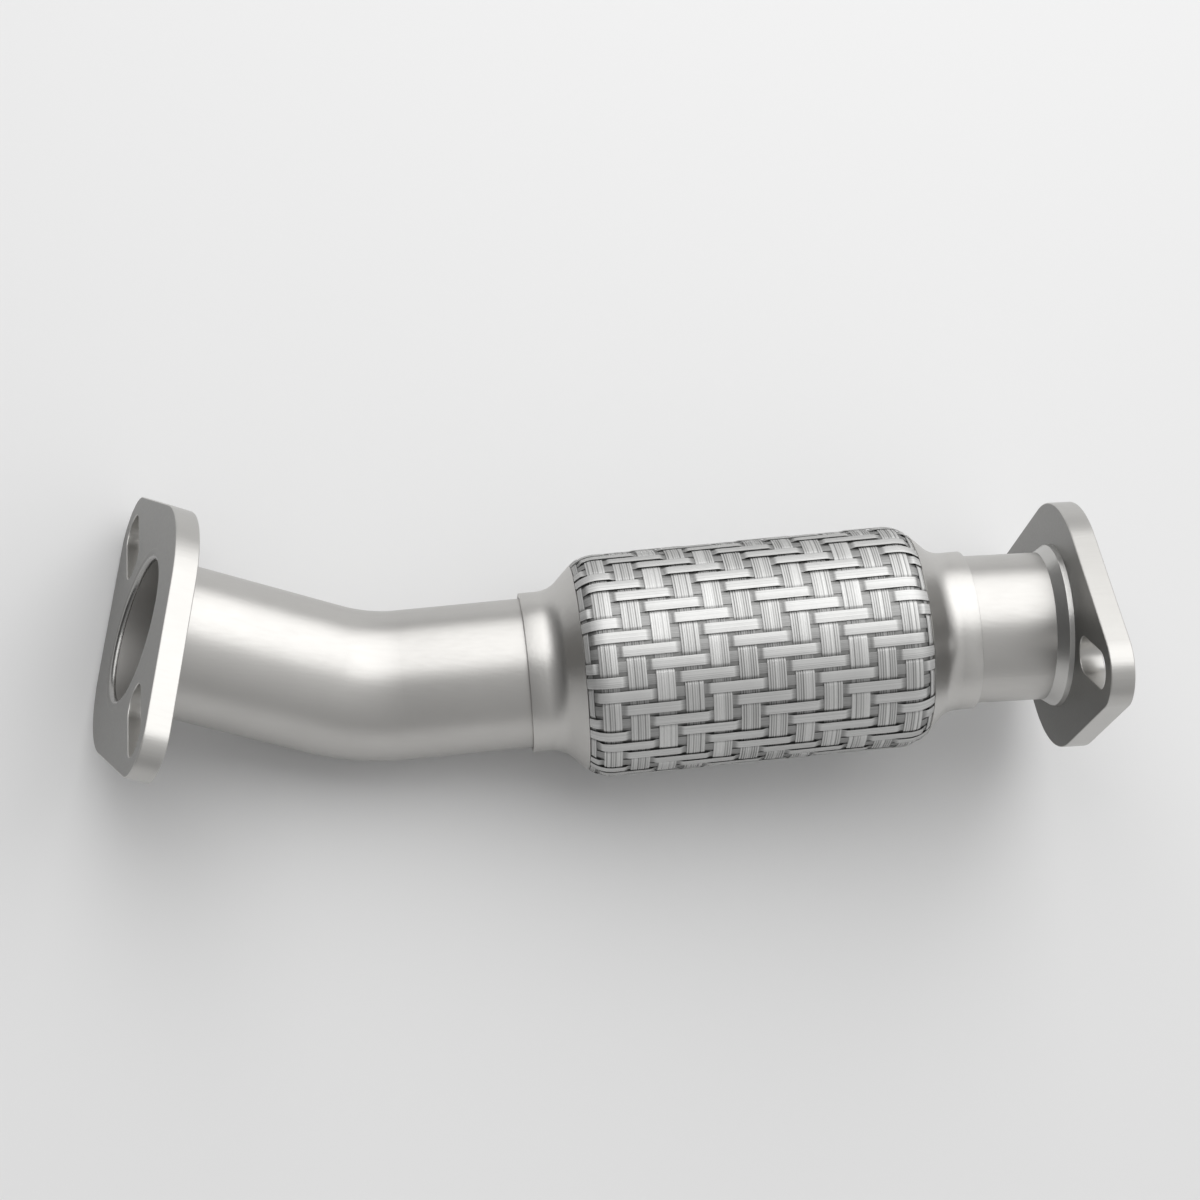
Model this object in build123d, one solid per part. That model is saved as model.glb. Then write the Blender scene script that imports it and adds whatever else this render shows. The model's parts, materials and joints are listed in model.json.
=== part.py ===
from build123d import *
import math
import os

# Exhaust front pipe, in millimetres: a bent inlet pipe and a short outlet pipe, each welded into a slotted
# two-bolt flange, with a braided flex coupling between them.
#
# The pieces are drawn in the coupling's own frame. X runs along the coupling's axis, from the inlet to the
# outlet, with 0 at its middle, and the inlet pipe bends towards +Y. At the end they are turned and dropped
# to where the loose pipe comes to rest on a level floor: on a lobe of each flange and the braid's inlet end.

# Tubes
tube_od = 50.8
tube_wall = 1.5
inlet_lead = 41.9            # straight length from the coupling's collar to the bend
inlet_bend_radius = 59.2     # to the tube's centreline
inlet_bend_angle = 26.64
inlet_leg = 66.0             # from the bend to the inlet flange's outer face
outlet_set_angle = 2.44      # the outlet tube leaves its collar with this slight set
outlet_set_heading = 146.9   # about the coupling's axis, from the side that the inlet bends to
outlet_leg = 39.2            # from the collar to the outlet flange's outer face

# Flanges
plate_thickness = 8.0
plate_core_radius = 42.3
plate_end_radius = 12.8
plate_end_offset = 57.0      # from the bore's axis to the centre of each rounded end
slot_length = 30.0
slot_width = 12.4
slot_offset = 48.2           # from the bore's axis to the middle of each slot
inlet_plate_angle = 94.8     # of the plate's long axis about the tube, from the side that the inlet bends to
outlet_plate_angle = 64.2
seat_clearance = 0.1

# Welds at the flanges
mouth_weld_size = 1.9        # the tube's end lies this far below the flange's face, in a bevel as wide
mouth_weld_lip = 1.3         # from the face down to where the weld meets the line of the tube's bore
inlet_fillet_size = 2.5      # legs of the plain fillet behind the inlet's plate
back_weld_height = 2.7       # of the outlet's raised ring, above the tube
back_weld_land = 1.7
back_weld_runout = 3.6

# Flex coupling: the outside of the braid and its end caps
braid_od = 76.35
braid_straight = 100.0       # length of the braid between its two rolled shoulders
roll_radius = 11.5           # of the shoulder that rolls in at each end of the braid
cone_angle = 44.0            # the roll ends, and the cap's cone begins, at this slope
cap_wall = 1.1
cap_flare_radius = 10.0      # hollow, between the cap's cone and its collar
collar_length = 6.1
cap_seat_length = 4.0        # straight length of the cap under the braid
cap_joggle_run = 1.4

# Braid: bands lie along the sleeve, and each floats over two hoops and dives under two
band_count = 48
band_width = 3.6
hoop_pitch = 9.2
hoop_width = 6.3
hoop_count = 12              # whole hoops between the two part hoops at the rolled ends
float_overhang = 1.0         # how far a band's float runs past the hoops that it crosses
float_height = 0.5
braid_thickness = 1.3
first_band_turn = 50.0       # of one row of bands, from the side that the inlet bends to

# Bellows, liner and rings inside
collar_overlap = 14.0        # how far each tube goes into its collar
layer_clearance = 0.1        # between the layers in a collar, and where the braid seats
bellows_wall = 0.5
bellows_folds = 6
bellows_crest_clearance = 0.4
bellows_end_clearance = 2.5  # between the last fold and the cap's seat
ring_wall = 0.9
ring_length = 14.0
liner_wall = 1.0
butt_gap = 0.3               # between the tube's end and the ring and liner that meet it

# How the pipe lies: the coupling's frame is rolled about its own axis, then its outlet end is raised
lie_roll = 59.7
lie_rise = 8.13

tube_radius = tube_od / 2
tube_bore_radius = tube_radius - tube_wall
seat_radius = tube_radius + seat_clearance
cuff_bore_radius = tube_radius + layer_clearance
cuff_radius = cuff_bore_radius + bellows_wall
collar_bore_radius = cuff_radius + layer_clearance
collar_radius = collar_bore_radius + cap_wall
ring_radius = cuff_bore_radius - layer_clearance
ring_bore_radius = ring_radius - ring_wall
liner_radius = ring_bore_radius - layer_clearance
liner_bore_radius = liner_radius - liner_wall

braid_radius = braid_od / 2
roll_start = braid_straight / 2
roll_centre_radius = braid_radius - roll_radius
braid_reach = roll_start + roll_radius * math.radians(cone_angle)    # measured along the braid's skin
cap_seat_depth = braid_thickness + layer_clearance
cap_seat_start = roll_start - cap_seat_length
band_angle = 360 / band_count


def skin(along, depth):
    """A point of the coupling's section: its way along the braid's skin from the middle, and its depth.

    The skin is straight, then rolls in, and goes on as the cap's cone."""
    reach = abs(along)
    slope = min(max((reach - roll_start) / roll_radius, 0), math.radians(cone_angle))
    past = max(reach - braid_reach, 0)
    x = min(reach, roll_start) + (roll_radius - depth) * math.sin(slope) + past * math.cos(slope)
    radius = roll_centre_radius + (roll_radius - depth) * math.cos(slope) - past * math.sin(slope)
    return (math.copysign(x, along), radius)


flare_height = cap_flare_radius * (1 - math.cos(math.radians(cone_angle)))
cone_fall = skin(braid_reach, 0)[1] - collar_radius - flare_height
flare_x = (skin(braid_reach, 0)[0] + cone_fall / math.tan(math.radians(cone_angle))
           + cap_flare_radius * math.sin(math.radians(cone_angle)))
coupling_half = flare_x + collar_length
tube_end = coupling_half - collar_overlap


def turned(points):
    """A closed outline in the XY plane, with its radius along Y, turned about the coupling's axis."""
    return revolve(make_face(Polyline(*points, close=True)), axis=Axis.X)


def both_ends(inlet_name, outlet_name, outlet_piece):
    return {inlet_name: mirror(outlet_piece, about=Plane.YZ), outlet_name: outlet_piece}


def inlet_route():
    lead = Line((-tube_end, 0), (-coupling_half - inlet_lead, 0))
    bend = JernArc(lead @ 1, lead % 1, inlet_bend_radius, -inlet_bend_angle)
    leg = Line(bend @ 1, bend @ 1 + (bend % 1) * (inlet_leg - mouth_weld_size))
    return Wire([lead, bend, leg])


def outlet_route():
    lead = Line((tube_end, 0), (coupling_half, 0))
    leg = PolarLine(lead @ 1, outlet_leg - mouth_weld_size, outlet_set_angle)
    return Wire([lead, leg]).rotate(Axis.X, outlet_set_heading)


def tube(route):
    start = Plane(route @ 0, z_dir=route % 0)
    ring = Circle(tube_radius) - Circle(tube_bore_radius)
    return sweep(start * ring, path=route, transition=Transition.RIGHT)


def face_plane(route):
    """The flange's outer face at a tube's end: Z out of the face, X to the side that the inlet bends to."""
    out = route % 1
    side = Vector(0, 1, 0)
    return Plane(route @ 1 + out * mouth_weld_size, x_dir=side - out * side.dot(out), z_dir=out)


def flange(turn):
    """A plate cut to the hull of three discs, with a radial slot at each end and a bevelled bore."""
    ends = [Pos(side * plate_end_offset, 0) * Circle(plate_end_radius) for side in (-1, 1)]
    outline = make_hull([Circle(plate_core_radius).edge()] + [end.edge() for end in ends])
    slots = [Pos(side * slot_offset, 0) * SlotOverall(slot_length, slot_width) for side in (-1, 1)]
    plate = extrude(outline - Circle(seat_radius) - slots, amount=-plate_thickness)
    bevel = Cone(seat_radius, seat_radius + mouth_weld_size, mouth_weld_size)
    plate -= Pos(0, 0, -mouth_weld_size / 2) * bevel
    return Rot(0, 0, turn) * plate


def ring(*outline):
    """A closed (radius, height) outline turned about the tube, in the frame of a flange's outer face."""
    return revolve(make_face(Polyline(*[(radius, 0, z) for radius, z in outline], close=True)), axis=Axis.Z)


def mouth_weld():
    """Fills the bevel between bore and tube, flush with the face, and rolls over into the tube's bore."""
    return ring((tube_bore_radius, -mouth_weld_size), (seat_radius, -mouth_weld_size),
                (seat_radius + mouth_weld_size, 0), (tube_radius, 0), (tube_bore_radius, -mouth_weld_lip))


def inlet_back_weld():
    """A plain fillet between the back of the plate and the tube."""
    root = -plate_thickness
    return ring((tube_radius, root), (tube_radius + inlet_fillet_size, root),
                (tube_radius, root - inlet_fillet_size))


def outlet_back_weld():
    """A raised ring round the tube behind the plate: a short land, then a run-out on to the tube."""
    root = -plate_thickness
    crown = root - back_weld_land
    crown_radius = tube_radius + back_weld_height
    return ring((tube_radius, root), (crown_radius, root), (crown_radius, crown),
                (tube_radius, crown - back_weld_runout))


def band_runs(row):
    """Where a row's floats start and end along the skin; each row is one hoop on from the row beside it."""
    runs = []
    for index in range(-2 - row, hoop_count + 1, 4):
        centre = (index - (hoop_count - 1) / 2) * hoop_pitch
        start = max(centre - hoop_width / 2 - float_overhang, -braid_reach)
        end = min(centre + hoop_pitch + hoop_width / 2 + float_overhang, braid_reach)
        if end - start > hoop_pitch / 2:
            runs.append((start, end))
    return runs


def skin_line(start, end, depth):
    """Points along the skin at one depth; each rolled shoulder is two straight steps."""
    middle = (roll_start + braid_reach) / 2
    turns = [-middle, -roll_start, roll_start, middle]
    return [skin(at, depth) for at in (start, *[turn for turn in turns if start < turn < end], end)]


def wall_section(start, end, top, bottom):
    """A section of the braid's wall between two ways along its skin and two depths."""
    outline = skin_line(start, end, top) + skin_line(start, end, bottom)[::-1]
    return make_face(Polyline(*outline, close=True))


def gore(row):
    """The braid's wall under one row of bands, flat across and mitred to its neighbours, with its floats."""
    mitre = math.radians(band_angle / 2)
    body = extrude(wall_section(-braid_reach, braid_reach, float_height, braid_thickness),
                   amount=braid_radius * math.tan(mitre), both=True)
    for side in (-1, 1):
        outwards = Vector(0, -math.sin(mitre), side * math.cos(mitre))
        body = split(body, bisect_by=Plane((0, 0, 0), z_dir=outwards), keep=Keep.BOTTOM)
    for start, end in band_runs(row):
        body += extrude(wall_section(start, end, 0, 2 * float_height), amount=band_width / 2, both=True)
    return body


def braid():
    """Gores side by side, in a twill that repeats every four rows."""
    gores = [gore(row) for row in range(4)]
    rows = [gores[row % 4].rotate(Axis.X, first_band_turn - row * band_angle) for row in range(band_count)]
    return rows[0].fuse(*rows[1:])


def end_cap():
    """A pressed bell: the collar, a hollow flare, the cone, and a joggle down to the braid's seat."""
    step = braid_reach + layer_clearance
    inner_step = step + cap_wall / 2
    under = cap_seat_depth + cap_wall
    rise = math.radians(cone_angle)
    flare_middle = (flare_x - cap_flare_radius * math.sin(rise / 2),
                    collar_radius + cap_flare_radius * (1 - math.cos(rise / 2)))
    flare_end = (flare_x - cap_flare_radius * math.sin(rise), collar_radius + flare_height)
    inner_cone_end = skin(inner_step + cap_joggle_run, cap_wall)
    inner_cone_run = (inner_cone_end[1] - collar_bore_radius) / math.tan(rise)
    return turned([
        (coupling_half, collar_radius), (flare_x, collar_radius), flare_middle, flare_end, skin(step, 0),
        skin(step, cap_seat_depth), *skin_line(cap_seat_start, braid_reach, cap_seat_depth)[::-1],
        *skin_line(cap_seat_start, inner_step, under),
        inner_cone_end, (inner_cone_end[0] + inner_cone_run, collar_bore_radius),
        (coupling_half, collar_bore_radius),
    ])


def bellows():
    """A thin tube with parallel-sided folds that stand up to the braid, and a plain cuff in each collar."""
    crest = braid_radius - braid_thickness - bellows_crest_clearance
    half_length = cap_seat_start - bellows_end_clearance
    pitch = 2 * half_length / bellows_folds
    outside = []
    inside = []
    for fold in range(bellows_folds):
        rise = (fold + 0.25) * pitch - half_length
        fall = rise + pitch / 2
        outside += [(rise, cuff_radius), (rise, crest), (fall, crest), (fall, cuff_radius)]
        rise += bellows_wall
        fall -= bellows_wall
        inside += [(rise, cuff_bore_radius), (rise, crest - bellows_wall)]
        inside += [(fall, crest - bellows_wall), (fall, cuff_bore_radius)]
    cuff_end = coupling_half - layer_clearance
    return turned([(-cuff_end, cuff_radius), *outside, (cuff_end, cuff_radius),
                   (cuff_end, cuff_bore_radius), *reversed(inside), (-cuff_end, cuff_bore_radius)])


def sleeve(start, end, outer, inner):
    return turned([(start, outer), (end, outer), (end, inner), (start, inner)])


def build():
    pieces = {}
    for name, route, turn, back_weld in (("inlet", inlet_route(), inlet_plate_angle, inlet_back_weld()),
                                         ("outlet", outlet_route(), outlet_plate_angle, outlet_back_weld())):
        plane = face_plane(route)
        pieces[name + "_flange"] = plane * flange(turn)
        pieces[name + "_flange_weld"] = plane * back_weld
        pieces[name + "_mouth_weld"] = plane * mouth_weld()
        pieces[name + "_pipe"] = tube(route)
    ring_end = tube_end - butt_gap
    pieces |= both_ends("inlet_cap", "outlet_cap", end_cap())
    pieces |= both_ends("inlet_inner_ring", "outlet_inner_ring",
                        sleeve(ring_end - ring_length, ring_end, ring_radius, ring_bore_radius))
    pieces["liner"] = sleeve(-ring_end, ring_end, liner_radius, liner_bore_radius)
    pieces["bellows"] = bellows()
    pieces["braid"] = braid()
    lie = Rot(0, -lie_rise, 0) * Rot(lie_roll, 0, 0)
    pieces = {name: lie * piece for name, piece in pieces.items()}
    box = Compound(list(pieces.values())).bounding_box()
    drop = Pos(-box.center().X, -box.center().Y, -box.min.Z)
    return {name: drop * piece for name, piece in pieces.items()}


os.makedirs("parts", exist_ok=True)
for name, piece in build().items():
    export_step(piece, f"parts/{name}.step")
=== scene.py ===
import json
import math
import random

import bmesh
import bpy
from mathutils import Matrix, Vector


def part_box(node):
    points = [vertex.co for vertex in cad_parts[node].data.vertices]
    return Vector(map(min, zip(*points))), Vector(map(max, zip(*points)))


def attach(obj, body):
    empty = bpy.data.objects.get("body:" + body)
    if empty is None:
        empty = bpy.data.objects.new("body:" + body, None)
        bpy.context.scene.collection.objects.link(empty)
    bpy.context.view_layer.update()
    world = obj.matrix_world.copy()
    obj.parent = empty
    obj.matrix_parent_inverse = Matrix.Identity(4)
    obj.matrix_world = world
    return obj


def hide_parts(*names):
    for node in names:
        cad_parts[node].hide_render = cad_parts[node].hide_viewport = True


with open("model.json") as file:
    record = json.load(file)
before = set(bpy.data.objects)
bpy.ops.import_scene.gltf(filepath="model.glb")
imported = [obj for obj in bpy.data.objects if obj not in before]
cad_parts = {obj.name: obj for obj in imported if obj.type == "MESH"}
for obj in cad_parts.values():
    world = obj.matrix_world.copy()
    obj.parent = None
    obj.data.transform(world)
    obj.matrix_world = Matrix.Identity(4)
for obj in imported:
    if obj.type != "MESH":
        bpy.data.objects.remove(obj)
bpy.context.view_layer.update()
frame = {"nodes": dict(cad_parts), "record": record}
mm = 0.001

# Liner, inner rings and bellows
# The gas runs through a hose of interlocked stainless strip. Round it goes a folded tube of thin stainless
# sheet that keeps the gas in. A ring at either end holds the two together, and the caps clamp them there.
noise_detail = 4
cloud_fineness = 40
cloud_change = 0.06


def ramp(tree, value, start, end, reach=(0, 1)):
    """A value that runs over reach, mapped to run from start to end."""
    node = tree.nodes.new("ShaderNodeMapRange")
    node.inputs["From Min"].default_value = reach[0]
    node.inputs["From Max"].default_value = reach[1]
    node.inputs["To Min"].default_value = start
    node.inputs["To Max"].default_value = end
    tree.links.new(value, node.inputs["Value"])
    return node.outputs["Result"]


def steel(name, colour, roughness, spread, depth, fineness=1000, stretch=(1, 1, 1), turn=(0, 0, 0)):
    """Satin steel: a fine grain varies its roughness and surface, and a broad cloud its tone."""
    material = bpy.data.materials.new(name)
    material.use_nodes = True
    nodes, links = material.node_tree.nodes, material.node_tree.links
    shader = nodes["Principled BSDF"]
    shader.inputs["Metallic"].default_value = 1
    place = nodes.new("ShaderNodeTexCoord")
    lay = nodes.new("ShaderNodeMapping")
    lay.vector_type = "TEXTURE"
    lay.inputs["Rotation"].default_value = turn
    lay.inputs["Scale"].default_value = stretch
    links.new(place.outputs["Object"], lay.inputs["Vector"])
    grain = nodes.new("ShaderNodeTexNoise")
    grain.inputs["Scale"].default_value = fineness
    grain.inputs["Detail"].default_value = noise_detail
    links.new(lay.outputs["Vector"], grain.inputs["Vector"])
    cloud = nodes.new("ShaderNodeTexNoise")
    cloud.inputs["Scale"].default_value = cloud_fineness
    cloud.inputs["Detail"].default_value = noise_detail
    links.new(place.outputs["Object"], cloud.inputs["Vector"])
    tone = nodes.new("ShaderNodeMix")
    tone.data_type = "RGBA"
    tone.inputs["A"].default_value = [channel * (1 - cloud_change) for channel in colour] + [1]
    tone.inputs["B"].default_value = [min(channel * (1 + cloud_change), 1) for channel in colour] + [1]
    links.new(cloud.outputs["Fac"], tone.inputs["Factor"])
    links.new(tone.outputs["Result"], shader.inputs["Base Color"])
    rough = ramp(material.node_tree, grain.outputs["Fac"], roughness - spread, roughness + spread)
    links.new(rough, shader.inputs["Roughness"])
    bump = nodes.new("ShaderNodeBump")
    bump.inputs["Distance"].default_value = depth * mm
    links.new(grain.outputs["Fac"], bump.inputs["Height"])
    links.new(bump.outputs["Normal"], shader.inputs["Normal"])
    return material


inner_steel = steel("thin_sheet", colour=(0.5, 0.49, 0.48), roughness=0.4, spread=0.05, depth=0.02)
for node in ("liner", "inlet_inner_ring", "outlet_inner_ring", "bellows"):
    frame["nodes"][node].data.materials[0] = inner_steel

# Braid
# Flat bands of fine stainless wire, woven two over and two under, run along the sleeve and round it. The
# lower layer is a plain sleeve here, dark grey as painted shade. Painted shade also darkens the bands'
# grooves, sides and the parts that pass under. All of it rolls in at both ends, where the caps hold it.
lie_roll = math.radians(59.7)
lie_rise = math.radians(8.13)
coupling_middle = sum(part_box("liner"), Vector()) / 2
coupling = (Matrix.Translation(coupling_middle) @ Matrix.Rotation(-lie_rise, 4, "Y")
            @ Matrix.Rotation(lie_roll, 4, "X"))
along_coupling = coupling @ Matrix.Rotation(math.pi / 2, 4, "Y")

braid_radius = 38.175
braid_thickness = 1.3
roll_start = 50.0
roll_radius = 11.5
roll_steps = 7
cone_angle = math.radians(44)
braid_reach = roll_start + roll_radius * cone_angle

band_count = 48
band_width = 3.6
band_wires = 6
band_relief = 0.035
band_rise = 0.1
# Groove tones of the bands: painted shade between the wires.
band_groove_shades = (0.75, 0.95)
first_band_turn = math.radians(50)
hoop_count = 12
hoop_pitch = 9.2
hoop_width = 6.3
hoop_wires = 8
hoop_relief = 0.1
hoop_rise = 0.14
# Groove tones of the hoops: painted shade between the wires, deeper in some grooves than others.
hoop_groove_shades = (0.3, 1.0)
fewest_wires = 2

weave_period = 4
first_hoop_phase = -0.5
first_band_phase = first_hoop_phase - weave_period / 2
dive_rows = (-1, -0.65, -0.3, 0, 0.3, 0.65, 1)
over_band = 0.1
over_hoop = 0.28
under_depth = 0.62
backing_depth = 0.95
backing_steps = 40
backing_turns = 96

ribbon_thickness = 0.3
ribbon_crown = 0.08
ridge_tones = (0.9, 1.0)
# The bands' sides and the parts that pass under are darkened as painted shade.
side_shade = 0.25
under_shade = 0.58
streak_span = 100
line_fineness = 6
line_noise_reach = (0.25, 0.75)
dull_line = 0.86
bright_line = 1.05
seam_gap = 0.0005 * mm
weave_seed = 3
chance = random.Random(weave_seed)


def skin(along, depth):
    """(x, radius) some way along the braid's skin and a depth below it. Past the roll lies the cap's cone."""
    reach = abs(along)
    slope = min(max(reach - roll_start, 0) / roll_radius, cone_angle)
    past = max(reach - braid_reach, 0)
    x = min(reach, roll_start) + (roll_radius - depth) * math.sin(slope) + past * math.cos(slope)
    radius = braid_radius - roll_radius + (roll_radius - depth) * math.cos(slope) - past * math.sin(slope)
    return math.copysign(x, along), radius


def over(phase, half_rise):
    """1 where a band floats over its two crossings, 0 where it is under, with a smooth dive between."""
    phase = abs((phase + weave_period / 2) % weave_period - weave_period / 2)
    dive = min(max((phase - 1 + half_rise) / (2 * half_rise), 0), 1)
    return 1 - dive * dive * (3 - 2 * dive)


def phases(first, last, half_rise):
    """Phases from first to last at which a band gets its rows: every half, and more at the odd ones, where it
    dives."""
    found = {first, last}
    for half in range(math.ceil(2 * first), math.floor(2 * last) + 1):
        phase = half / 2
        if phase % 2 == 1:
            found.update(phase + half_rise * part for part in dive_rows)
        else:
            found.add(phase)
    return [phase for phase in sorted(found) if first <= phase <= last]


def woven():
    """An empty mesh for bands, with a tone for each corner, which carries painted shade, and a streak that
    runs across each band.
    """
    mesh = bmesh.new()
    mesh.verts.layers.float.new("tone")
    mesh.verts.layers.float.new("streak")
    return mesh


def ribbon(mesh, wires, width, relief, grooves, rows_at, place, closed):
    """Adds a flat band of wires to mesh. place gives (x, radius, angle, lift) at a phase along it, a
    distance across it and a depth. Each wire is a ridge; the grooves, the sides and the parts underneath are
    darkened as painted shade."""
    tone_and_shade_layer = mesh.verts.layers.float["tone"]
    streak_layer = mesh.verts.layers.float["streak"]
    # Each groove is darkened by a random amount, as painted shade between the wires.
    groove_shade = [chance.uniform(*grooves) for wire in range(wires + 1)]
    ridge_tone = [chance.uniform(*ridge_tones) for wire in range(wires + 1)]
    first_streak = chance.uniform(0, streak_span)
    section = []
    for step in range(2 * wires + 1):
        across = step / wires - 1
        groove = step % 2 == 0
        depth = ribbon_crown * across * across + (relief if groove else 0)
        tone = groove_shade[step // 2] if groove else ridge_tone[step // 2]
        section.append((across * width / 2, depth, tone))
    # The sides are darkened as painted shade.
    section += [(width / 2, ribbon_thickness, side_shade), (-width / 2, ribbon_thickness, side_shade)]
    rows = []
    for phase in rows_at:
        row = []
        for across, depth, tone in section:
            x, radius, angle, lift = place(phase, across, depth)
            point = coupling @ (Vector((x, radius * math.cos(angle), radius * math.sin(angle))) * mm)
            corner = mesh.verts.new(point)
            # Parts that pass under are darkened as painted shade.
            corner[tone_and_shade_layer] = tone * (under_shade + (1 - under_shade) * lift)
            corner[streak_layer] = first_streak + across
            row.append(corner)
        rows.append(row)
    for first, second in zip(rows, rows[1:] + rows[:1] if closed else rows[1:]):
        for side in range(len(section)):
            mesh.faces.new((first[side], first[side - 1], second[side - 1], second[side]))
        for groove in range(0, 2 * wires + 1, 2):
            mesh.edges.get((first[groove], second[groove])).smooth = False
    if not closed:
        mesh.faces.new(rows[0])
        mesh.faces.new(reversed(rows[-1]))


def turned(outline, place, steps):
    """A closed (along, radius) outline in mm, turned about its axis, which place puts in the model."""
    mesh = bmesh.new()
    points = [mesh.verts.new((radius * mm, 0, along * mm)) for along, radius in outline]
    edges = [mesh.edges.new((first, last)) for first, last in zip(points, points[1:] + points[:1])]
    bmesh.ops.spin(mesh, geom=points + edges, cent=(0, 0, 0), axis=(0, 0, 1), angle=math.tau, steps=steps,
                   use_merge=True)
    bmesh.ops.remove_doubles(mesh, verts=mesh.verts, dist=seam_gap)
    bmesh.ops.recalc_face_normals(mesh, faces=mesh.faces)
    bmesh.ops.transform(mesh, matrix=place, verts=mesh.verts)
    return mesh


def maths(tree, operation, first, second):
    """What a math node makes of a socket and of a second socket or a number."""
    node = tree.nodes.new("ShaderNodeMath")
    node.operation = operation
    tree.links.new(first, node.inputs[0])
    if isinstance(second, bpy.types.NodeSocket):
        tree.links.new(second, node.inputs[1])
    else:
        node.inputs[1].default_value = second
    return node.outputs["Value"]


def add_piece(name, mesh, material, node, corner=32):
    """Finishes a bmesh as a piece that stands for a CAD node: smooth, but sharp at corners of that angle."""
    for face in mesh.faces:
        face.smooth = True
    for edge in mesh.edges:
        edge.smooth = edge.smooth and edge.calc_face_angle(0) < math.radians(corner)
    data = bpy.data.meshes.new(name)
    mesh.to_mesh(data)
    mesh.free()
    piece = bpy.data.objects.new(name, data)
    bpy.context.scene.collection.objects.link(piece)
    data.materials.append(material)
    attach(piece, "root")
    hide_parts(node)
    return piece


bands = woven()
half_length = braid_reach / hoop_pitch
roll_rows = [(roll_start + (braid_reach - roll_start) * step / roll_steps) / hoop_pitch
             for step in range(roll_steps + 1)]
for row in range(band_count):
    middle_phase = row + first_band_phase + (hoop_count - 1) / 2

    def along_sleeve(phase, across, depth, row=row, middle_phase=middle_phase):
        lift = over(phase, band_rise)
        along = (phase - middle_phase) * hoop_pitch
        x, radius = skin(along, depth + under_depth + (over_band - under_depth) * lift)
        angle = first_band_turn - math.tau * row / band_count
        return x, radius, angle + across / braid_radius, lift

    rows_at = set(phases(middle_phase - half_length, middle_phase + half_length, band_rise))
    rows_at.update([middle_phase + way for way in roll_rows] + [middle_phase - way for way in roll_rows])
    ribbon(bands, band_wires, band_width, band_relief, band_groove_shades, sorted(rows_at), along_sleeve,
           closed=False)

hoops = woven()
for index in range(-1, hoop_count + 1):
    centre = (index - (hoop_count - 1) / 2) * hoop_pitch
    start = max(centre - hoop_width / 2, -braid_reach)
    end = min(centre + hoop_width / 2, braid_reach)
    wires = max(round(hoop_wires * (end - start) / hoop_width), fewest_wires)
    first_phase = index + first_hoop_phase

    def round_sleeve(phase, across, depth, first_phase=first_phase, middle=(start + end) / 2):
        lift = over(phase, hoop_rise)
        x, radius = skin(middle + across, depth + under_depth + (over_hoop - under_depth) * lift)
        return x, radius, first_band_turn - (phase - first_phase) * math.tau / band_count, lift

    rows_at = phases(first_phase, first_phase + band_count, hoop_rise)[:-1]
    ribbon(hoops, wires, end - start, hoop_relief, hoop_groove_shades, rows_at, round_sleeve, closed=True)

braid_steel = steel("braid_wire", colour=(0.79, 0.79, 0.78), roughness=0.6, spread=0.05, depth=0.01)
tree = braid_steel.node_tree
shader = tree.nodes["Principled BSDF"]
shader.inputs["Specular Tint"].default_value = (0, 0, 0, 1)
streak = tree.nodes.new("ShaderNodeAttribute")
streak.attribute_name = "streak"
lines = tree.nodes.new("ShaderNodeTexNoise")
lines.noise_dimensions = "1D"
lines.inputs["Scale"].default_value = line_fineness
tree.links.new(streak.outputs["Fac"], lines.inputs["W"])
line_tone = ramp(tree, lines.outputs["Fac"], dull_line, bright_line, reach=line_noise_reach)
# The tone attribute darkens the base colour with the painted shade it carries.
tone = tree.nodes.new("ShaderNodeAttribute")
tone.attribute_name = "tone"
toned = tree.nodes.new("ShaderNodeVectorMath")
toned.operation = "SCALE"
tree.links.new(shader.inputs["Base Color"].links[0].from_socket, toned.inputs["Vector"])
tree.links.new(maths(tree, "MULTIPLY", tone.outputs["Fac"], line_tone), toned.inputs["Scale"])
tree.links.new(toned.outputs["Vector"], shader.inputs["Base Color"])
for name, mesh in (("braid_bands", bands), ("braid_hoops", hoops)):
    bmesh.ops.recalc_face_normals(mesh, faces=mesh.faces)
    add_piece(name, mesh, braid_steel, "braid", corner=50)

# The backing's dark grey is painted shade for the shaded lower layer seen in the gaps.
backing_shade_steel = steel("braid_backing", colour=(0.26, 0.26, 0.255), roughness=0.5, spread=0.06, depth=0.05)
ways = [braid_reach * step / backing_steps for step in range(-backing_steps, backing_steps + 1)]
backing = [skin(way, backing_depth) for way in ways] + [skin(way, braid_thickness) for way in reversed(ways)]
add_piece("braid_backing", turned(backing, along_coupling, backing_turns), backing_shade_steel, "braid")

# End caps of the flex coupling
# Each is a bell pressed from 1.1 mm stainless sheet: a collar for the tube, a hollow flare and a cone that
# carries on the line of the braid's rolled shoulder. A joggle under the braid lets the two finish flush.
cap_wall = 1.1
collar_radius = 27.2
collar_length = 6.1
collar_round = 0.25
collar_round_middle = 0.07
flare_radius = 10.0
flare_steps = 10
inner_flare_steps = 8
braid_gap = 0.1
joggle_start = 0.6
joggle_end = 2.0
seat_depth = 1.4
seat_start = 46.0
seat_steps = 6
ring_steps = 128
edge_x, edge_radius = skin(braid_reach, 0)
flare_height = flare_radius * (1 - math.cos(cone_angle))
flare_x = edge_x + (edge_radius - collar_radius - flare_height) / math.tan(cone_angle)
flare_x += flare_radius * math.sin(cone_angle)
collar_end = flare_x + collar_length


def flare(radius, steps):
    """(x, radius) down a round of that radius, from the collar's side to the cone's."""
    foot = collar_radius + flare_radius - radius
    angles = [cone_angle * step / steps for step in range(steps + 1)]
    return [(flare_x - radius * math.sin(angle), foot + radius * (1 - math.cos(angle))) for angle in angles]


def under_braid(past_end, depth):
    """(x, radius) at a depth under the braid's roll, from its start to past_end beyond the braid's end."""
    length = braid_reach + past_end - roll_start
    return [skin(roll_start + length * step / seat_steps, depth) for step in range(seat_steps + 1)]


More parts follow.
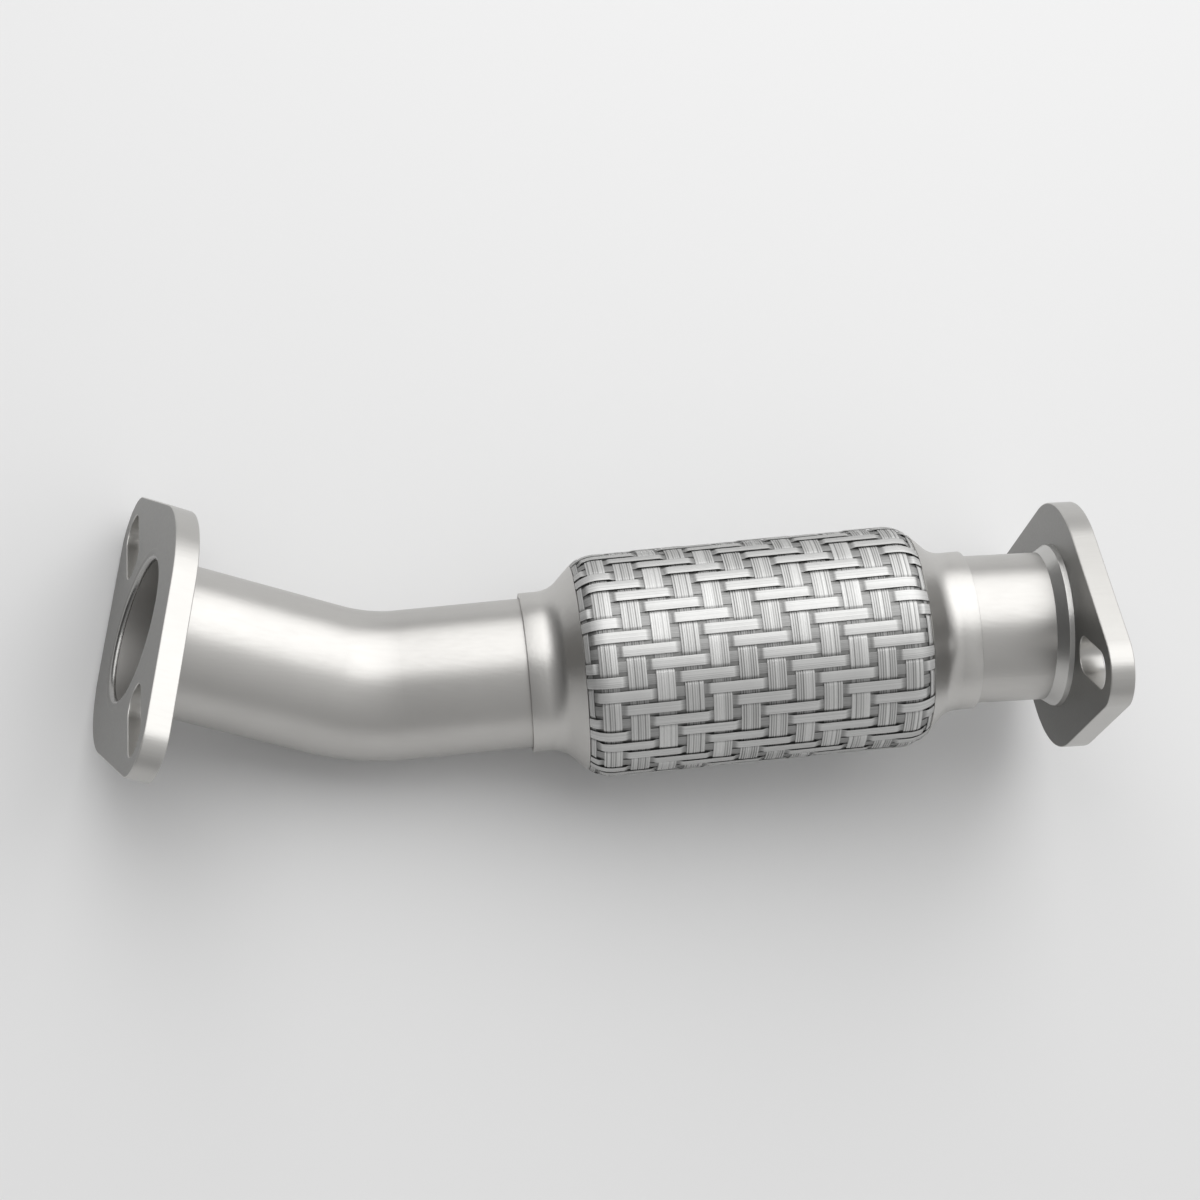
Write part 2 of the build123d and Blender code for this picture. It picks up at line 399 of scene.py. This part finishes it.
cap = [(collar_end, collar_radius - cap_wall), (collar_end, collar_radius - collar_round)]
cap += [(collar_end - collar_round_middle, collar_radius - collar_round_middle)]
cap += [(collar_end - collar_round, collar_radius)] + flare(flare_radius, flare_steps)
cap += [skin(braid_reach + braid_gap, 0), skin(braid_reach + braid_gap, seat_depth)]
cap += reversed(under_braid(0, seat_depth))
cap += [skin(seat_start, seat_depth), skin(seat_start, seat_depth + cap_wall)]
cap += under_braid(joggle_start, seat_depth + cap_wall)
cap += [skin(braid_reach + joggle_end, cap_wall)]
cap += reversed(flare(flare_radius + cap_wall, inner_flare_steps))
cap_steel = steel("pressed_cap", colour=(0.56, 0.55, 0.532), roughness=0.37, spread=0.06, depth=0.03,
                  fineness=800)
for end, side in (("inlet", -1), ("outlet", 1)):
    outline = [(side * x, radius) for x, radius in cap]
    add_piece(end + "_end_cap", turned(outline, along_coupling, ring_steps), cap_steel, end + "_cap")

# Tubes
# Drawn stainless tube of 50.8 mm, with a satin skin and faint draw marks along it. The inlet's is bent, and
# the outlet's is short. Each is pushed into its cap's collar, and its bore is duller near the mouth.
tube_radius = 25.4
tube_bore_radius = 23.9
draw_stretch = (9, 1, 1)
draw_turn = (0, math.radians(4), math.radians(-7))
bore_finish_radius = 24.6
bore_finish_depth = 30.0
bore_roughness = 0.5
mounts = {mount["name"]: mount for mount in frame["record"]["mounts"]}


def face_frame(end):
    """The plate's outer face: its origin on the bore's axis and +Z out of the face."""
    mount = mounts[end + "_bolt_slots"]
    turn = Vector(mount["axis"]).to_track_quat("Z", "Y").to_matrix().to_4x4()
    return Matrix.Translation(mount["pos_m"]) @ turn


for end in ("inlet", "outlet"):
    tube_steel = steel(end + "_satin_tube", colour=(0.53, 0.52, 0.503), roughness=0.37, spread=0.07,
                       depth=0.02, fineness=900, stretch=draw_stretch, turn=draw_turn)
    tree = tube_steel.node_tree
    shader = tree.nodes["Principled BSDF"]
    from_face = tree.nodes.new("ShaderNodeMapping")
    from_face.vector_type = "TEXTURE"
    from_face.inputs["Location"].default_value = face_frame(end).to_translation()
    from_face.inputs["Rotation"].default_value = face_frame(end).to_euler()
    tree.links.new(tree.nodes["Texture Coordinate"].outputs["Object"], from_face.inputs["Vector"])
    spot = tree.nodes.new("ShaderNodeSeparateXYZ")
    tree.links.new(from_face.outputs["Vector"], spot.inputs["Vector"])
    across = tree.nodes.new("ShaderNodeCombineXYZ")
    tree.links.new(spot.outputs["X"], across.inputs["X"])
    tree.links.new(spot.outputs["Y"], across.inputs["Y"])
    off_axis = tree.nodes.new("ShaderNodeVectorMath")
    off_axis.operation = "LENGTH"
    tree.links.new(across.outputs["Vector"], off_axis.inputs["Vector"])
    in_bore = maths(tree, "LESS_THAN", off_axis.outputs["Value"], bore_finish_radius * mm)
    near_mouth = maths(tree, "GREATER_THAN", spot.outputs["Z"], -bore_finish_depth * mm)
    finish = tree.nodes.new("ShaderNodeMix")
    finish.inputs["B"].default_value = bore_roughness
    tree.links.new(maths(tree, "MULTIPLY", in_bore, near_mouth), finish.inputs["Factor"])
    tree.links.new(shader.inputs["Roughness"].links[0].from_socket, finish.inputs["A"])
    tree.links.new(finish.outputs["Result"], shader.inputs["Roughness"])
    frame["nodes"][end + "_pipe"].data.materials[0] = tube_steel

# Flange plates
# Each tube ends in the same 8 mm plate, laser cut from mild steel and zinc plated. Its cut rim shows fine
# striations across the thickness, its faces are rolled smooth, and every edge is broken by tumbling. The
# faces are much darker than the rim, and that darkness is painted shade.
edge_break = 0.3
flat_angle = math.radians(0.5)
edge_angle = math.radians(60)
face_cosine = 0.95


def dress(mesh, end):
    """Gives the faces that lie in the plate's plane the first finish and all the others the second."""
    outwards = Vector(mounts[end + "_bolt_slots"]["axis"])
    for face in mesh.faces:
        face.material_index = int(abs(face.normal.dot(outwards)) < face_cosine)


# The faces' dark grey is painted shade.
shaded_face_steel = steel("rolled_plate_painted_shade", colour=(0.22, 0.217, 0.209), roughness=0.38, spread=0.05, depth=0.02)
for end in ("inlet", "outlet"):
    rim_steel = steel(end + "_cut_rim", colour=(0.51, 0.502, 0.485), roughness=0.36, spread=0.06, depth=0.03,
                      fineness=1400, stretch=(1, 1, 14), turn=face_frame(end).to_euler())
    plate = bmesh.new()
    plate.from_mesh(frame["nodes"][end + "_flange"].data)
    bmesh.ops.remove_doubles(plate, verts=plate.verts, dist=seam_gap)
    bmesh.ops.dissolve_limit(plate, angle_limit=flat_angle, verts=plate.verts, edges=plate.edges)
    corners = [edge for edge in plate.edges if edge.calc_face_angle(0) > edge_angle]
    bmesh.ops.bevel(plate, geom=corners, offset=edge_break * mm, segments=2, profile=0.5, affect="EDGES",
                    material=-1)
    dress(plate, end)
    piece = add_piece(end + "_flange_plate", plate, shaded_face_steel, end + "_flange", corner=20)
    piece.data.materials.append(rim_steel)

# Welds at the plates
# The tube is welded in from both sides. The mouth's weld is dressed flush and rolls over into the bore.
# Behind the plate the inlet has a plain fillet, and the outlet a raised ring that runs out on the tube.
plate_thickness = 8.0
mouth_depth = 1.9
mouth_radius = 27.4
mouth_drop = 0.02
mouth_root = 0.1
mouth_roll_radius = 25.3
mouth_roll_depth = 1.3
mouth_roll_edge = 0.05
mouth_roll_bulge = 0.3
fillet_size = 2.5
fillet_hollow = 0.35
fillet_edge = 0.1
ring_height = 2.7
ring_land = 1.7
ring_fall = 0.25
ring_runout = 3.6
toe_height = 0.02
arc_steps = 8


def arc(start, end, bulge):
    """Points from start to end on a circular arc, which stands off its chord by bulge at the middle."""
    start, end = Vector(start), Vector(end)
    chord = end - start
    half = chord.length / 2
    side = Vector((-chord.y, chord.x)).normalized()
    radius = (half ** 2 + bulge ** 2) / (2 * bulge)
    centre = (start + end) / 2 + side * (bulge - radius)
    sweep = 2 * math.asin(half / abs(radius)) * (-1 if bulge > 0 else 1)
    turns = [Matrix.Rotation(sweep * step / arc_steps, 2) for step in range(arc_steps + 1)]
    return [tuple(centre + turn @ (start - centre)) for turn in turns]


mouth = [(-mouth_depth, tube_bore_radius), (-mouth_depth, tube_radius + mouth_root)]
mouth += [(-mouth_drop, mouth_radius), (-mouth_drop, mouth_roll_radius)]
mouth += arc((-mouth_roll_edge, mouth_roll_radius - mouth_roll_edge), (-mouth_roll_depth, tube_bore_radius),
             mouth_roll_bulge)
leg = tube_radius + fillet_size
fillet = [(-plate_thickness, tube_radius), (-plate_thickness, leg)]
fillet += arc((-plate_thickness - fillet_edge, leg),
              (-plate_thickness - fillet_size, tube_radius + toe_height), -fillet_hollow)
crown = -plate_thickness - ring_land
raised_ring = [(-plate_thickness, tube_radius), (-plate_thickness, tube_radius + ring_height)]
raised_ring += [(crown, tube_radius + ring_height - ring_fall)]
raised_ring += [(crown - ring_runout, tube_radius + toe_height)]
lip_steel = steel("weld_lip", colour=(0.36, 0.355, 0.345), roughness=0.26, spread=0.05, depth=0.03)
weld_steel = steel("weld_metal", colour=(0.52, 0.515, 0.5), roughness=0.3, spread=0.05, depth=0.03)
for end, back in (("inlet", fillet), ("outlet", raised_ring)):
    mouth_ring = turned(mouth, face_frame(end), ring_steps)
    dress(mouth_ring, end)
    # The mouth ring's faces in the plate's plane take the plate faces' painted shade.
    piece = add_piece(end + "_mouth_ring", mouth_ring, shaded_face_steel, end + "_mouth_weld")
    piece.data.materials.append(lip_steel)
    back_ring = turned(back, face_frame(end), ring_steps)
    add_piece(end + "_back_ring", back_ring, weld_steel, end + "_flange_weld", corner=14)

# Floor, light and camera
# The pipe lies on a pale floor under one large soft box, which hangs over and behind it. The room is dimmer
# than the box, and dimmest past the inlet.
floor_reach = 4
floor_grey = 0.78
floor_roughness = 0.9
floor_mesh = bmesh.new()
bmesh.ops.create_grid(floor_mesh, x_segments=1, y_segments=1, size=floor_reach)
floor_data = bpy.data.meshes.new("floor")
floor_mesh.to_mesh(floor_data)
floor_mesh.free()
floor = bpy.data.objects.new("floor", floor_data)
bpy.context.scene.collection.objects.link(floor)
floor_paint = bpy.data.materials.new("floor_paint")
floor_paint.use_nodes = True
shader = floor_paint.node_tree.nodes["Principled BSDF"]
shader.inputs["Base Color"].default_value = (floor_grey, floor_grey, floor_grey, 1)
shader.inputs["Roughness"].default_value = floor_roughness
floor_data.materials.append(floor_paint)

wall_glow = 0.38
ceiling_glow = 0.62
inlet_side_share = 0.2
outlet_side_share = 1.8
side_reach = 0.9
world = bpy.data.worlds.new("studio")
bpy.context.scene.world = world
world.use_nodes = True
tree = world.node_tree
background = tree.nodes["Background"]
background.inputs["Color"].default_value = (1, 1, 1, 1)
facing = tree.nodes.new("ShaderNodeTexCoord")
direction = tree.nodes.new("ShaderNodeSeparateXYZ")
tree.links.new(facing.outputs["Generated"], direction.inputs["Vector"])
upward_glow = ramp(tree, direction.outputs["Z"], wall_glow, ceiling_glow)
side_share = ramp(tree, direction.outputs["X"], inlet_side_share, outlet_side_share,
                  reach=(-side_reach, side_reach))
tree.links.new(maths(tree, "MULTIPLY", upward_glow, side_share), background.inputs["Strength"])

soft_box_side = Vector((0.15, 0.5, 0.85)).normalized()
soft_box_distance = 1.1
soft_box_size = (1.5, 1.7)
soft_box_glow = 1.42
soft_box_lamp = bpy.data.lights.new("soft_box", "AREA")
soft_box_lamp.shape = "RECTANGLE"
soft_box_lamp.size, soft_box_lamp.size_y = soft_box_size
soft_box_lamp.energy = soft_box_glow * math.pi * soft_box_size[0] * soft_box_size[1]
soft_box = bpy.data.objects.new("soft_box", soft_box_lamp)
soft_box.location = soft_box_side * soft_box_distance
soft_box.rotation_euler = soft_box_side.to_track_quat("Z", "Y").to_euler()
soft_box.visible_camera = False
bpy.context.scene.collection.objects.link(soft_box)

camera_place = Vector((-0.17795, -0.27513, 0.82927))
camera_aim = Vector((0.20881, 0.3294, -0.92081))
camera_roll = math.radians(27.5276)
lens_mm = 74.816
sensor_mm = 36
near_clip = 0.01
camera_data = bpy.data.cameras.new("camera")
camera_data.lens = lens_mm
camera_data.sensor_width = sensor_mm
camera_data.clip_start = near_clip
camera = bpy.data.objects.new("camera", camera_data)
turn = camera_aim.to_track_quat("-Z", "Y").to_matrix().to_4x4() @ Matrix.Rotation(camera_roll, 4, "Z")
camera.matrix_world = Matrix.Translation(camera_place) @ turn
bpy.context.scene.collection.objects.link(camera)
bpy.context.scene.camera = camera
bpy.context.scene.view_settings.view_transform = "Standard"
